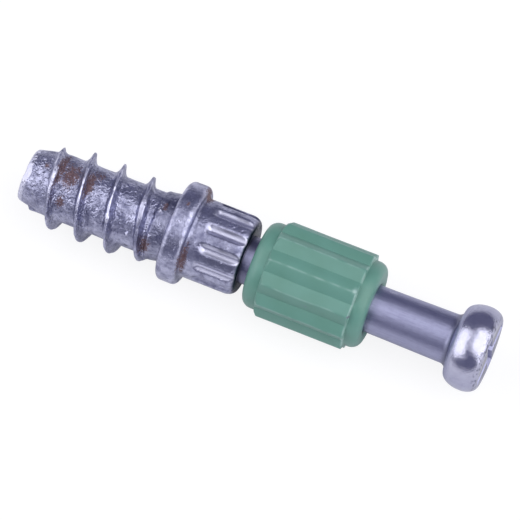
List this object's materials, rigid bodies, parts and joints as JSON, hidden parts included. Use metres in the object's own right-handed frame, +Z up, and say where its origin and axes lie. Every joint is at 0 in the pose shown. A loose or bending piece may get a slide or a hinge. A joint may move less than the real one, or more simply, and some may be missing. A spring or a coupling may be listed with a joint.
{
  "type": "screw-in furniture dowel",
  "caption": "Screw-in connecting dowel for flat-pack furniture: coarse thread, stop collar and fluted drum, then a mushroom-headed pin with a ribbed plastic sleeve.",
  "frame": {"origin": "on the dowel's axis, in the plane of the collar's seat face", "axes": "+X along the axis to the mushroom head, the thread points to -X, +Z up with the dowel lying on its side"},
  "size_m": [0.0375, 0.0078, 0.0078],
  "materials": {
    "cast_zinc": "die-cast zinc alloy, pitted and stained, with rust marks",
    "drawn_steel": "drawn steel with a polished head",
    "green_plastic": "moulded plastic, satin sage green"
  },
  "bodies": {
    "root": {"threaded_body": "cast_zinc", "headed_pin": "drawn_steel", "ribbed_sleeve": "green_plastic"}
  },
  "joints": []
}
